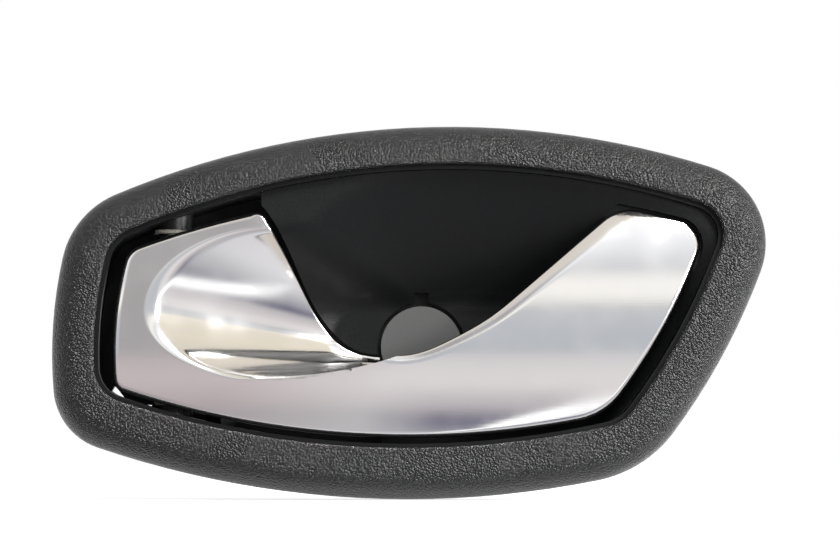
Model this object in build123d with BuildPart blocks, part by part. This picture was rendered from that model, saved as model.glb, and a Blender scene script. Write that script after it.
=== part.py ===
"""Car interior door handle: a grained bezel, a finger bowl and a sprung chrome lever.

Millimetres. +X is to the right seen from the cabin, +Z is up, and the face looks along -Y.
The origin is the axis of the fixing hole, at the back face of its boss. A level is a distance
from that face towards the cabin, so a level of 36 is the plane y = -36.
"""
import os
from math import cos, pi, radians, sin, sqrt

from build123d import *

os.makedirs("parts", exist_ok=True)

TO_CABIN = (0, -1, 0)

# Bezel outline: four bowed sides, each an arc through one point
bezel_top = 48.8
bezel_top_x = 6.5
bezel_top_radius = 192.1
bezel_right = 73.4
bezel_right_z = 10.5
bezel_right_lean = 23.0
bezel_right_radius = 145.8
bezel_bottom = 34.4
bezel_bottom_x = -2.9
bezel_bottom_radius = 214.6
bezel_left = 82.4
bezel_left_z = -1.6
bezel_left_radius = 99.0
bezel_corners = {"top_left": 20.0, "top_right": 18.0, "bottom_right": 28.0, "bottom_left": 14.5}

# Bezel section
panel_level = 27.0
bezel_height = 9.0
bezel_wall = 2.4
outer_roll = 6.5
hollow_roll = 2.6
inner_edge = 0.8
rim_top = 8.9
rim_right = 10.6
rim_bottom = 11.4
rim_left = 9.8
pocket_corners = {"top_left": 9.0, "top_right": 7.4, "bottom_right": 10.0, "bottom_left": 8.0}

# Lever outline: its gaps to the pocket, and a top edge flatter than the pocket's
lever_gap_top = 5.5
lever_gap_right = 3.8
lever_gap_bottom = 2.2
lever_gap_left = 4.0
lever_top_radius = 201.9
lever_corners = {"top_left": 5.0, "top_right": 5.7, "bottom_right": 16.0, "bottom_left": 3.0}

# Lever section
lever_sink = 2.0
lever_wall = 2.2
lever_depth = 5.0
crown_along = 2000.0
crown_across = 150.0
crown_z = 2.0
lever_edge = 1.0

# Spoon scoop of the lever, which the bowl carries on; it starts at a distance from the hinge
scoop_ahead = 22.15
scoop_z = 7.8
scoop_reach = {"left": 25.0, "right": 40.0, "top": 18.3, "bottom": 14.8}
scoop_mouth_drop = 1.5
scoop_floor_x = -10.4
scoop_floor_z = 1.5
scoop_floor_reach = {"left": 10.0, "right": 14.0, "top": 8.0, "bottom": 5.0}
scoop_round = 4.0
scoop_wall = 1.5

# Finger bowl
bowl_depth = 19.0
bowl_x = 7.5
bowl_z = 10.0
bowl_reach = {"left": 45.8, "right": 67.0, "top": 33.5, "bottom": 44.7}
bowl_floor_x = 10.8
bowl_floor_z = 1.1
bowl_floor_reach = {"left": 21.2, "right": 29.0, "top": 8.9, "bottom": 14.5}
bowl_round = 7.0
bowl_wall = 2.3
ledge = 0.9
bowl_rim_wall = 1.9
flange_width = 1.5
flange_thickness = 2.2
land_drop = 1.9
well_back_level = 12.0
well_gap = 0.7
sweep_relief = 1.3
paddle_gap = 0.6
shade_width = {"top": 11.0, "bottom": 3.6, "left": 5.0}
window_back = 9.8
window_z = -12.0
window_radius = 5.0
strip_left = 4.0
strip_right = 3.0
strip_level = 11.0
strip_wall = 2.0

# Hinge, at a distance from the bezel's left end
pivot_inset = 26.4
pivot_level = 23.4
open_angle = 30.0
pin_radius = 2.0
pin_head_radius = 3.2
pin_head = 1.2
pin_tail = 2.6
clip_thickness = 0.8
clip_radius = 4.0
groove_radius = 1.4
run_clearance = 0.04
bush_radius = 3.2
bush_flange_radius = 4.2
bush_flange = 0.8
ear_radius = 4.6
ear_length = 6.2
ear_proud = 0.3
end_float = 0.3

# Fixing screw and cap
cap_radius = 9.2
cap_gap = 0.85
cap_thickness = 2.0
cap_leg = 5.0
cap_leg_angle = 34.0
cap_leg_wall = 1.2
notch_width = 3.2
notch_depth = 2.1
screw_pocket_radius = 6.5
seat_thickness = 5.0
sleeve_bore = 2.75
sleeve_radius = 4.0
boss_wall = 2.4

# Finger opening of the lever: the scoop's free edge, and the lip that rises to the paddle
free_edge = [(-36.2, 30.6), (-27.2, 13.6), (-22.2, 4.6), (-16.0, -0.9), (-9.5, -2.2)]
lip_edge = [(-9.5, -2.2), (-2.6, -2.2), (6.4, 1.1), (15.3, 6.2), (22.0, 11.6), (31.0, 19.4), (46.5, 33.0)]
free_edge_lean = 45.0
lip_lean = 35.0

# Bezel screws, each on a side of the bezel at an angle about that side's arc
screw_spots = [("bottom", -98.0), ("bottom", -82.0), ("right", -20.0), ("left", 173.0)]
screw_radius = 1.1
screw_head_radius = 2.0
screw_head = 1.6
screw_slack = 0.05
screw_grip = 4.2
post_radius = 2.0
post_length = 2.6
post_gap = 0.3
lug_radius = 2.8
lug_thickness = 1.8
crown_sweep = 4.0

# Lever carrier: a plate behind the shell, two pivot tubes and the cable arm
plate_level = 27.6
plate_thickness = 2.4
plate_left = 8.4
plate_right = 3.0
plate_low = -7.5
plate_high = 16.0
tube_wall = 1.4
spring_bay_low = -1.0
spring_bay_high = 10.4
shell_screw_back = 6.8
shell_screw_low = -3.5
shell_screw_high = 13.2
shell_boss_radius = 2.0
shell_screw_grip = 4.0
arm_length = 16.0
arm_width = 5.0
arm_low = -9.0
arm_high = -3.0
eye_radius = 4.2
eye_bore = 2.1
wire_slot = 1.8

# Return spring
wire_radius = 0.6
spring_turns = 7
spring_gap = 0.15
fixed_leg = 12.0
moving_leg = 9.5
leg_clearance = 0.1

# Stops
stop_clearance = 0.3
stop_pad = 2.0
stop_post = 4.0
stop_post_length = 7.0
stop_along = 10.0
stop_pad_length = 5.0
stop_top = 1.6
stop_low = -9.5
stop_high = -2.5
rest_pad_radius = 2.2
rest_pad = 2.7
rest_wall = 0.8
upper_rest_angle = -21.5
lower_rest_angle = -33.0
rest_post = 5.0
rest_socket = 1.2

# Cable bracket
bracket_thickness = 3.0
bracket_low = -14.0
bracket_high = 2.0
sheath_radius = 3.2

bezel_level = panel_level + bezel_height
flange_level = bezel_level - bezel_wall
lever_level = bezel_level - lever_sink
lever_back_level = lever_level - lever_depth
scoop_mouth_level = lever_level - scoop_mouth_drop
floor_level = lever_level - bowl_depth
land_level = flange_level - land_drop
pocket = {"top": rim_top, "right": rim_right, "bottom": rim_bottom, "left": rim_left}
pivot_x = pivot_inset - bezel_left
scoop_x = pivot_x + scoop_ahead
shell_screw_x = pivot_x - shell_screw_back
screw_offset = bowl_rim_wall + post_gap + post_radius
post_level = flange_level - post_length


def moved_in(insets, amount):
    """The same sides, all moved inwards by one amount."""
    return {side: inset + amount for side, inset in insets.items()}


def side_disc(side, inset):
    """Centre and radius of the disc whose rim is one side of the bezel, moved inwards."""
    lean = radians(bezel_right_lean)
    centre = {
        "top": (bezel_top_x, bezel_top - bezel_top_radius),
        "right": (bezel_right - bezel_right_radius * cos(lean), bezel_right_z + bezel_right_radius * sin(lean)),
        "bottom": (bezel_bottom_x, bezel_bottom_radius - bezel_bottom),
        "left": (bezel_left_radius - bezel_left, bezel_left_z),
    }
    radius = {
        "top": bezel_top_radius,
        "right": bezel_right_radius,
        "bottom": bezel_bottom_radius,
        "left": bezel_left_radius,
    }
    return centre[side], radius[side] - inset


def lever_top_disc(inset):
    """The disc of the lever's own flatter top edge."""
    peak = bezel_top - rim_top - lever_gap_top
    return (bezel_top_x, peak - lever_top_radius), lever_top_radius - inset


def overlap_outline(level, discs, corners):
    """A face at a level: the overlap of four discs, with a radius at each corner."""
    with BuildSketch(Plane.XZ.offset(level)) as face:
        for number, (centre, radius) in enumerate(discs):
            with Locations(centre):
                Circle(radius, mode=Mode.INTERSECT if number else Mode.ADD)
        by_x = face.vertices().sort_by(Axis.X)
        bottom_left, top_left = by_x[:2].sort_by(Axis.Y)
        bottom_right, top_right = by_x[2:].sort_by(Axis.Y)
        sharp = {
            "top_left": top_left,
            "top_right": top_right,
            "bottom_right": bottom_right,
            "bottom_left": bottom_left,
        }
        for corner, vertex in sharp.items():
            fillet(face.vertices().sort_by_distance(vertex)[0], corners[corner])
    return face.sketch


def bezel_outline(level, insets, corners):
    """The bezel's outline at a level, moved inwards by an inset on each side."""
    discs = [side_disc(side, inset) for side, inset in insets.items()]
    return overlap_outline(level, discs, corners)


def lever_outline(level, inset=0.0):
    """The lever's outer edge before its finger opening is cut."""
    gaps = {"right": lever_gap_right, "bottom": lever_gap_bottom, "left": lever_gap_left}
    discs = [lever_top_disc(inset)]
    discs += [side_disc(side, pocket[side] + gap + inset) for side, gap in gaps.items()]
    return overlap_outline(level, discs, {corner: max(r - inset, 0.5) for corner, r in lever_corners.items()})


def screw_spot(side, angle):
    """Where a bezel screw stands: just outside the bowl's wall, at an angle about that side's arc."""
    (x, z), radius = side_disc(side, pocket[side] - screw_offset)
    return x + radius * cos(radians(angle)), z + radius * sin(radians(angle))


def rest_spot(angle):
    """Where a rest buffer stands: behind the paddle's right edge, at an angle about that side's arc."""
    (x, z), radius = side_disc("right", rim_right + lever_gap_right + rest_pad_radius)
    return x + radius * cos(radians(angle)), z + radius * sin(radians(angle))


def wall_z(side, x, inset):
    """Height of the top or bottom side, moved inwards, above one x."""
    (centre_x, centre_z), radius = side_disc(side, inset)
    rise = sqrt(radius**2 - (x - centre_x) ** 2)
    return centre_z + rise if side == "top" else centre_z - rise


def crown(level):
    """A body whose cabin side is the lever's gently bowed face, highest at a level."""
    axis_y = crown_along - level
    start = radians(-crown_sweep)
    side_plane = Plane((0, axis_y, 0), x_dir=(sin(start), -cos(start), 0), z_dir=(-cos(start), -sin(start), 0))
    with BuildPart() as body:
        with BuildSketch(side_plane):
            with Locations((crown_along - crown_across, crown_z)):
                Circle(crown_across)
        revolve(axis=Axis((0, axis_y, 0), (0, 0, 1)), revolution_arc=2 * crown_sweep)
    return body.part


def dish_face(level, x, z, reach, grow):
    """An egg-shaped face: a quarter of an ellipse on each side of its centre."""
    left, right, top, bottom = (reach[side] + grow for side in ("left", "right", "top", "bottom"))
    with BuildSketch(Plane.XZ.offset(level)) as face:
        with BuildLine():
            EllipticalCenterArc((x, z), right, top, 0)
            EllipticalCenterArc((x, z), left, top, 90)
            EllipticalCenterArc((x, z), left, bottom, 180)
            EllipticalCenterArc((x, z), right, bottom, 270)
        make_face()
    return face.sketch


def dish(mouth, floor, rounding):
    """A hollow's shape: straight walls from the mouth down to a floor with a rounded edge."""
    with BuildPart() as body:
        loft([floor, mouth], ruled=True)
        fillet(body.faces().sort_by(Axis.Y)[-1].edges(), rounding)
        extrude(mouth, amount=bezel_height, dir=TO_CABIN)
    return body.part


def scoop_dish(wall=0.0):
    """The scoop's hollow, or the same shape lowered and grown by a wall."""
    mouth = dish_face(scoop_mouth_level - wall, scoop_x, scoop_z, scoop_reach, wall)
    floor = dish_face(floor_level - wall, scoop_floor_x, scoop_floor_z, scoop_floor_reach, wall)
    return dish(mouth, floor, scoop_round + wall)


def bowl_dish(wall=0.0):
    """The finger bowl's hollow, or the same shape lowered and grown by a wall."""
    mouth = dish_face(lever_level - wall, bowl_x, bowl_z, bowl_reach, wall)
    floor = dish_face(floor_level - wall, bowl_floor_x, bowl_floor_z, bowl_floor_reach, wall)
    return dish(mouth, floor, bowl_round + wall)


def moved_free_edge(amount):
    """The scoop's free edge, moved to the left and down."""
    aside, down = amount * cos(radians(free_edge_lean)), amount * sin(radians(free_edge_lean))
    return [(x - aside, z - down) for x, z in free_edge]


def opening_face(level, grow=0.0):
    """The finger opening in the lever: the scoop's free edge, then the lip up to the paddle."""
    edge = moved_free_edge(grow)
    lip = [(x + grow * sin(radians(lip_lean)), z - grow * cos(radians(lip_lean))) for x, z in lip_edge]
    with BuildSketch(Plane.XZ.offset(level)) as face:
        with BuildLine():
            Spline(*edge)
            if grow:
                Line(edge[-1], lip[0])
            Spline(*lip)
            Polyline(lip[-1], (lip[-1][0], bezel_top), (edge[0][0], bezel_top), edge[0])
        make_face()
    return face.sketch


def paddle_body(low, high, grow):
    """The space of the lever's shell, grown sideways, between two levels."""
    aside = Pos(-grow * sin(radians(lip_lean)), 0, grow * cos(radians(lip_lean)))
    with BuildPart() as body:
        extrude(lever_outline(low, -grow), amount=high - low, dir=TO_CABIN)
        extrude(aside * opening_face(low), amount=high - low, dir=TO_CABIN, mode=Mode.SUBTRACT)
    return body.part


def well_face(level, gap):
    """The open well behind the lever's hinge end, from a gap beyond the scoop's free edge to the left."""
    edge = moved_free_edge(-gap)
    with BuildSketch(Plane.XZ.offset(level)) as face:
        with BuildLine():
            Spline(*edge)
            Polyline(
                edge[-1],
                (edge[-1][0], -bezel_bottom),
                (-bezel_left, -bezel_bottom),
                (-bezel_left, bezel_top),
                (edge[0][0], bezel_top),
                edge[0],
            )
        make_face()
    return face.sketch


boss_level = plate_level + plate_thickness
ear_top = wall_z("top", pivot_x - ear_radius, rim_top + ledge) - ear_proud
ear_bottom = wall_z("bottom", pivot_x - ear_radius, rim_bottom + ledge) + ear_proud
tube_high = ear_top - bush_flange - end_float
tube_low = ear_bottom + bush_flange + end_float
tube_web = pin_radius + tube_wall / 2
stop_face = arm_width / 2 + stop_clearance
spring_radius = stop_face + stop_pad - leg_clearance - wire_radius
spring_pitch = 2 * wire_radius + spring_gap
spring_bottom = spring_bay_low + wire_radius + 2 * leg_clearance
spring_top = spring_bottom + (spring_turns + (90 - open_angle) / 360) * spring_pitch

stop_turn = Plane((pivot_x, -pivot_level, 0), x_dir=(cos(radians(open_angle)), -sin(radians(open_angle)), 0))
spring_turn = stop_turn.offset(spring_bottom)
leg_slot = 2 * (wire_radius + 2 * leg_clearance)
leg_rise = moving_leg * spring_pitch / (2 * pi * spring_radius)
stop_low_z = wall_z("bottom", pivot_x + stop_along, rim_bottom - bowl_rim_wall / 2)
rest_top = lever_back_level - stop_clearance - rest_pad
paddle_level = lever_back_level - paddle_gap
cap_seat = floor_level - cap_thickness
cap_recess = cap_radius + cap_gap

# Bezel
plain = {side: 0.0 for side in pocket}
hollow_corners = {corner: radius - bezel_wall for corner, radius in bezel_corners.items()}
with BuildPart() as bezel_hollow:
    hollow_outline = bezel_outline(panel_level, moved_in(plain, bezel_wall), hollow_corners)
    extrude(hollow_outline, amount=flange_level - panel_level, dir=TO_CABIN)
    fillet(bezel_hollow.faces().sort_by(Axis.Y)[0].edges(), hollow_roll)

with BuildPart() as bezel:
    extrude(bezel_outline(panel_level, plain, bezel_corners), amount=bezel_height, dir=TO_CABIN)
    fillet(bezel.faces().sort_by(Axis.Y)[0].edges(), outer_roll)
    add(bezel_hollow.part, mode=Mode.SUBTRACT)
    for spot in screw_spots:
        with BuildSketch(Plane.XZ.offset(post_level)):
            with Locations(screw_spot(*spot)):
                Circle(post_radius)
        extrude(amount=flange_level - post_level + bezel_wall / 2, dir=TO_CABIN)
    pocket_cut = bezel_outline(panel_level, pocket, pocket_corners)
    extrude(pocket_cut, amount=bezel_height, dir=TO_CABIN, mode=Mode.SUBTRACT)
    fillet(bezel.edges().group_by(Axis.Y)[0].filter_by(lambda edge: edge.length > 0), inner_edge)
    for spot in screw_spots:
        with BuildSketch(Plane.XZ.offset(post_level)):
            with Locations(screw_spot(*spot)):
                Circle(screw_radius + screw_slack)
        extrude(amount=screw_grip + screw_slack, dir=TO_CABIN, mode=Mode.SUBTRACT)
bezel.part.label = "bezel"
export_step(bezel.part, "parts/bezel.step")

# Lever shell
with BuildPart() as lever_hollow:
    extrude(lever_outline(lever_back_level, lever_wall), amount=lever_depth, dir=TO_CABIN)
    extrude(opening_face(lever_back_level, lever_wall), amount=lever_depth, dir=TO_CABIN, mode=Mode.SUBTRACT)
    add(crown(lever_level - lever_wall), mode=Mode.INTERSECT)

with BuildPart() as scoop_shell:
    add(scoop_dish(scoop_wall))
    extrude(lever_outline(0), amount=bezel_level, dir=TO_CABIN, mode=Mode.INTERSECT)
    extrude(opening_face(0), amount=bezel_level, dir=TO_CABIN, mode=Mode.SUBTRACT)
    add(crown(lever_level - lever_wall / 2), mode=Mode.INTERSECT)
    split(bisect_by=Plane.YZ.offset(free_edge[-1][0]), keep=Keep.BOTTOM)

with BuildPart() as lever:
    extrude(lever_outline(lever_back_level), amount=lever_depth, dir=TO_CABIN)
    add(crown(lever_level), mode=Mode.INTERSECT)
    fillet(lever.faces().sort_by(Axis.Y)[0].edges(), lever_edge)
    extrude(opening_face(lever_back_level), amount=lever_depth, dir=TO_CABIN, mode=Mode.SUBTRACT)
    add(lever_hollow.part, mode=Mode.SUBTRACT)
    add(scoop_shell.part)
    with BuildSketch(Plane.XZ.offset(boss_level)):
        with Locations((shell_screw_x, shell_screw_low), (shell_screw_x, shell_screw_high)):
            Circle(shell_boss_radius)
    extrude(amount=lever_wall, dir=TO_CABIN)
    add(scoop_dish(), mode=Mode.SUBTRACT)
    with BuildSketch(Plane.XZ.offset(plate_level)):
        with Locations((shell_screw_x, shell_screw_low), (shell_screw_x, shell_screw_high)):
            Circle(screw_radius + screw_slack)
    extrude(amount=shell_screw_grip + screw_slack, dir=TO_CABIN, mode=Mode.SUBTRACT)
lever.part.label = "lever"
export_step(lever.part, "parts/lever.step")

# Lever carrier
with BuildPart() as lever_carrier:
    with BuildSketch(Plane.XZ.offset(plate_level)):
        with Locations((pivot_x - (plate_left + plate_right) / 2, (plate_low + plate_high) / 2)):
            RectangleRounded(plate_left - plate_right, plate_high - plate_low, tube_wall)
    extrude(amount=plate_thickness, dir=TO_CABIN)
    for low, high in ((tube_low, spring_bay_low), (spring_bay_high, tube_high)):
        with BuildSketch(Plane.XY.offset(low)):
            with Locations((pivot_x, -pivot_level)):
                Circle(pin_radius + tube_wall)
        extrude(amount=high - low)
    for low, high in ((plate_low, spring_bay_low), (spring_bay_high, plate_high)):
        with BuildSketch(Plane.XY.offset(low)):
            with BuildLine():
                Polyline(
                    (pivot_x, -pivot_level - tube_web),
                    (pivot_x - plate_right, -plate_level - plate_thickness / 2),
                    (pivot_x - plate_right - tube_wall, -plate_level - plate_thickness / 2),
                    (pivot_x, -pivot_level + tube_web),
                    close=True,
                )
            make_face()
        extrude(amount=high - low)
    with BuildSketch(Plane.XY.offset(arm_low)):
        with Locations((pivot_x, -pivot_level + arm_length / 2)):
            Rectangle(arm_width, arm_length)
        with Locations((pivot_x, -pivot_level + arm_length)):
            Circle(eye_radius)
    extrude(amount=arm_high - arm_low)
    with Locations((pivot_x, -pivot_level + arm_length, arm_high)):
        Hole(eye_bore)
    with Locations((pivot_x - eye_radius, -pivot_level + arm_length, (arm_low + arm_high) / 2)):
        Box(2 * eye_radius, wire_slot, wire_slot, mode=Mode.SUBTRACT)
    with Locations((pivot_x, -pivot_level, tube_high)):
        Hole(pin_radius + screw_slack)
    with Locations((pivot_x - plate_left, -pivot_level - spring_radius, spring_top + leg_rise / 2)):
        Box(2 * (plate_left - plate_right), leg_slot, leg_slot + leg_rise, mode=Mode.SUBTRACT)
    with BuildSketch(Plane.XZ.offset(plate_level)):
        with Locations((shell_screw_x, shell_screw_low), (shell_screw_x, shell_screw_high)):
            Circle(screw_radius + screw_slack)
    extrude(amount=plate_thickness, dir=TO_CABIN, mode=Mode.SUBTRACT)
lever_carrier.part.label = "lever_carrier"
export_step(lever_carrier.part, "parts/lever_carrier.step")

# Bowl
wall_corners = {corner: radius + bowl_rim_wall for corner, radius in pocket_corners.items()}
flange_corners = {corner: radius + flange_width for corner, radius in wall_corners.items()}
well_corners = {corner: radius - ledge for corner, radius in pocket_corners.items()}
wall_outline = moved_in(pocket, -bowl_rim_wall)
well_outline = moved_in(pocket, ledge)
swept_outline = {**well_outline, "left": rim_left + ledge - sweep_relief}

with BuildPart() as pocket_space:
    extrude(bezel_outline(0, swept_outline, well_corners), amount=flange_level - flange_thickness, dir=TO_CABIN)
    extrude(bezel_outline(0, well_outline, well_corners), amount=bezel_level, dir=TO_CABIN)

with BuildPart() as finger_space:
    add(bowl_dish())
    add(scoop_dish())
    add(pocket_space.part, mode=Mode.INTERSECT)

with BuildPart() as well_space:
    extrude(well_face(0, well_gap), amount=bezel_level, dir=TO_CABIN)
    add(pocket_space.part, mode=Mode.INTERSECT)

with BuildPart() as well_shade:
    extrude(well_face(well_back_level, well_gap), amount=bowl_wall, dir=TO_CABIN)
    extrude(bezel_outline(0, wall_outline, wall_corners), amount=bezel_level, dir=TO_CABIN, mode=Mode.INTERSECT)
    inside_shade = moved_in(pocket, -screw_offset)
    for side, width in shade_width.items():
        inside_shade[side] = pocket[side] + width
    shade_edge = bezel_outline(0, inside_shade, pocket_corners)
    extrude(shade_edge, amount=bezel_level, dir=TO_CABIN, mode=Mode.SUBTRACT)
    with BuildSketch(Plane.XZ.offset(well_back_level)):
        with Locations((pivot_x - window_back, window_z)):
            Circle(window_radius)
    extrude(amount=bowl_wall, dir=TO_CABIN, mode=Mode.SUBTRACT)

with BuildPart() as edge_strip:
    extrude(well_face(strip_level, strip_right), amount=strip_wall, dir=TO_CABIN)
    extrude(well_face(strip_level, -strip_left), amount=strip_wall, dir=TO_CABIN, mode=Mode.SUBTRACT)
    extrude(bezel_outline(0, wall_outline, wall_corners), amount=bezel_level, dir=TO_CABIN, mode=Mode.INTERSECT)

with BuildPart() as rim_frame:
    extrude(
        bezel_outline(well_back_level, wall_outline, wall_corners),
        amount=flange_level - well_back_level,
        dir=TO_CABIN,
    )
    extrude(
        bezel_outline(flange_level - flange_thickness, moved_in(wall_outline, -flange_width), flange_corners),
        amount=flange_thickness,
        dir=TO_CABIN,
    )
    for spot in screw_spots:
        with BuildSketch(Plane.XZ.offset(post_level)):
            with Locations(screw_spot(*spot)):
                Circle(post_radius + post_gap)
        extrude(amount=flange_level - post_level, dir=TO_CABIN, mode=Mode.SUBTRACT)
        with BuildSketch(Plane.XZ.offset(post_level - lug_thickness)):
            with Locations(screw_spot(*spot)):
                Circle(lug_radius)
        extrude(amount=lug_thickness, dir=TO_CABIN)
        with BuildSketch(Plane.XZ.offset(post_level - lug_thickness)):
            with Locations(screw_spot(*spot)):
                Circle(screw_radius + screw_slack)
        extrude(amount=lug_thickness, dir=TO_CABIN, mode=Mode.SUBTRACT)
    add(pocket_space.part, mode=Mode.SUBTRACT)

with BuildPart() as bowl:
    add(bowl_dish(bowl_wall))
    add(scoop_dish(bowl_wall))
    extrude(bezel_outline(0, wall_outline, wall_corners), amount=land_level, dir=TO_CABIN, mode=Mode.INTERSECT)
    extrude(
        bezel_outline(land_level - bowl_wall, wall_outline, wall_corners), amount=bowl_wall, dir=TO_CABIN
    )
    add(rim_frame.part)
    add(paddle_body(paddle_level - bowl_wall, land_level, paddle_gap + bowl_wall))
    add(finger_space.part, mode=Mode.SUBTRACT)
    add(paddle_body(paddle_level, bezel_level, paddle_gap), mode=Mode.SUBTRACT)
    # Screw boss, cap recess and pry notch
    with BuildSketch(Plane.XZ):
        Circle(screw_pocket_radius + boss_wall)
    extrude(amount=cap_seat, dir=TO_CABIN)
    with BuildSketch(Plane.XZ.offset(cap_seat - boss_wall)):
        Circle(cap_recess + boss_wall)
    extrude(amount=boss_wall + cap_thickness, dir=TO_CABIN)
    add(well_space.part, mode=Mode.SUBTRACT)
    add(well_shade.part)
    add(edge_strip.part)
    with BuildSketch(Plane.XZ.offset(cap_seat)):
        Circle(cap_recess)
        with Locations((0, cap_recess)):
            Rectangle(notch_width, 2 * notch_depth)
    extrude(amount=bowl_depth, dir=TO_CABIN, mode=Mode.SUBTRACT)
    with BuildSketch(Plane.XZ.offset(seat_thickness)):
        Circle(screw_pocket_radius)
    extrude(amount=cap_seat, dir=TO_CABIN, mode=Mode.SUBTRACT)
    with BuildSketch(Plane.XZ):
        Circle(sleeve_radius)
    extrude(amount=seat_thickness, dir=TO_CABIN, mode=Mode.SUBTRACT)
    # Pivot ears
    for face_z, length in ((ear_top, ear_length), (ear_bottom, -ear_length)):
        with BuildSketch(Plane.XY.offset(face_z)):
            with Locations((pivot_x, -pivot_level)):
                Circle(ear_radius)
        extrude(amount=length)
        with BuildSketch(Plane.XY.offset(face_z)):
            with Locations((pivot_x, -pivot_level)):
                Circle(bush_radius)
        extrude(amount=length, mode=Mode.SUBTRACT)
    # Open stop and spring post
    with BuildSketch(stop_turn.offset(stop_low_z)):
        with Locations((stop_face + stop_pad + stop_post / 2, stop_along)):
            Rectangle(stop_post, stop_post_length)
    extrude(amount=stop_top - stop_low_z)
    # Seats of the rest buffers
    for angle in (upper_rest_angle, lower_rest_angle):
        with BuildSketch(Plane.XZ.offset(rest_top - rest_post)):
            with Locations(rest_spot(angle)):
                Circle(rest_pad_radius + rest_wall)
        extrude(amount=rest_post + rest_socket, dir=TO_CABIN)
        with BuildSketch(Plane.XZ.offset(rest_top)):
            with Locations(rest_spot(angle)):
                Circle(rest_pad_radius)
        extrude(amount=bezel_level - rest_top, dir=TO_CABIN, mode=Mode.SUBTRACT)
    # Cable bracket
    with Locations((-bezel_left + rim_left - bracket_thickness / 2, 0, (bracket_low + bracket_high) / 2)):
        Box(
            bracket_thickness,
            well_back_level + bracket_thickness,
            bracket_high - bracket_low,
            align=(Align.CENTER, Align.MAX, Align.CENTER),
        )
    with BuildSketch(Plane.YZ.offset(-bezel_left)):
        with Locations((-pivot_level + arm_length, (arm_low + arm_high) / 2)):
            Circle(sheath_radius)
            with Locations((sheath_radius * 4, 0)):
                Rectangle(sheath_radius * 8, 2 * sheath_radius)
    extrude(amount=bezel_left + pivot_x, mode=Mode.SUBTRACT)
bowl.part.label = "bowl"
export_step(bowl.part, "parts/bowl.step")

# Cap over the fixing screw, with three snap legs
with BuildPart() as screw_cap:
    with BuildSketch(Plane.XZ.offset(cap_seat - cap_leg)):
        Circle(screw_pocket_radius - screw_slack)
        Circle(screw_pocket_radius - screw_slack - cap_leg_wall, mode=Mode.SUBTRACT)
        with PolarLocations(0, 3, start_angle=90):
            with BuildLine():
                Polyline(
                    (0, 0),
                    (2 * screw_pocket_radius, 2 * screw_pocket_radius * sin(radians(cap_leg_angle))),
                    (2 * screw_pocket_radius, -2 * screw_pocket_radius * sin(radians(cap_leg_angle))),
                    close=True,
                )
            make_face(mode=Mode.INTERSECT)
    extrude(amount=cap_leg, dir=TO_CABIN)
    with BuildSketch(Plane.XZ.offset(cap_seat)):
        Circle(cap_radius)
    extrude(amount=cap_thickness, dir=TO_CABIN)
screw_cap.part.label = "screw_cap"
export_step(screw_cap.part, "parts/screw_cap.step")

# Steel sleeve that the fixing screw clamps
with BuildPart() as screw_sleeve:
    with BuildSketch(Plane.XZ):
        Circle(sleeve_radius)
        Circle(sleeve_bore, mode=Mode.SUBTRACT)
    extrude(amount=seat_thickness, dir=TO_CABIN)
screw_sleeve.part.label = "screw_sleeve"
export_step(screw_sleeve.part, "parts/screw_sleeve.step")

# Pivot bushes
with BuildPart() as upper_bush:
    with Locations((pivot_x, -pivot_level, ear_top)):
        Cylinder(bush_radius, ear_length, align=(Align.CENTER, Align.CENTER, Align.MIN))
        Cylinder(bush_flange_radius, bush_flange, align=(Align.CENTER, Align.CENTER, Align.MAX))
        Hole(pin_radius + run_clearance)
upper_bush.part.label = "upper_bush"
export_step(upper_bush.part, "parts/upper_bush.step")

with BuildPart() as lower_bush:
    with Locations((pivot_x, -pivot_level, ear_bottom)):
        Cylinder(bush_radius, ear_length, align=(Align.CENTER, Align.CENTER, Align.MAX))
        Cylinder(bush_flange_radius, bush_flange, align=(Align.CENTER, Align.CENTER, Align.MIN))
        Hole(pin_radius + run_clearance)
lower_bush.part.label = "lower_bush"
export_step(lower_bush.part, "parts/lower_bush.step")

# Pivot pin and its clip
pin_high = ear_top + ear_length + end_float
clip_high = ear_bottom - ear_length - end_float
with BuildPart() as pivot_pin:
    with Locations((pivot_x, -pivot_level, pin_high)):
        Cylinder(pin_head_radius, pin_head, align=(Align.CENTER, Align.CENTER, Align.MIN))
        Cylinder(pin_radius, pin_high - clip_high + pin_tail, align=(Align.CENTER, Align.CENTER, Align.MAX))
    with BuildSketch(Plane.XY.offset(clip_high - clip_thickness)):
        with Locations((pivot_x, -pivot_level)):
            Circle(pin_radius)
            Circle(groove_radius, mode=Mode.SUBTRACT)
    extrude(amount=clip_thickness, mode=Mode.SUBTRACT)
pivot_pin.part.label = "pivot_pin"
export_step(pivot_pin.part, "parts/pivot_pin.step")

with BuildPart() as pin_clip:
    with BuildSketch(Plane.XY.offset(clip_high - clip_thickness)):
        with Locations((pivot_x, -pivot_level)):
            Circle(clip_radius)
            Circle(groove_radius, mode=Mode.SUBTRACT)
            with Locations((0, clip_radius)):
                Rectangle(2 * groove_radius, 2 * clip_radius, mode=Mode.SUBTRACT)
    extrude(amount=clip_thickness)
pin_clip.part.label = "pin_clip"
export_step(pin_clip.part, "parts/pin_clip.step")

# Return spring: a left-hand coil with a leg at each end
coil = spring_turn * Helix(spring_pitch, spring_top - spring_bottom, spring_radius, lefthand=True)
with BuildPart() as return_spring:
    with BuildLine() as wire:
        Line(coil @ 0 - (coil % 0) * fixed_leg, coil @ 0)
        add(coil)
        Line(coil @ 1, coil @ 1 + (coil % 1) * moving_leg)
    with BuildSketch(Plane(wire.line @ 0, z_dir=wire.line % 0)):
        Circle(wire_radius)
    sweep(path=wire.line)
return_spring.part.label = "return_spring"
export_step(return_spring.part, "parts/return_spring.step")

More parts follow.
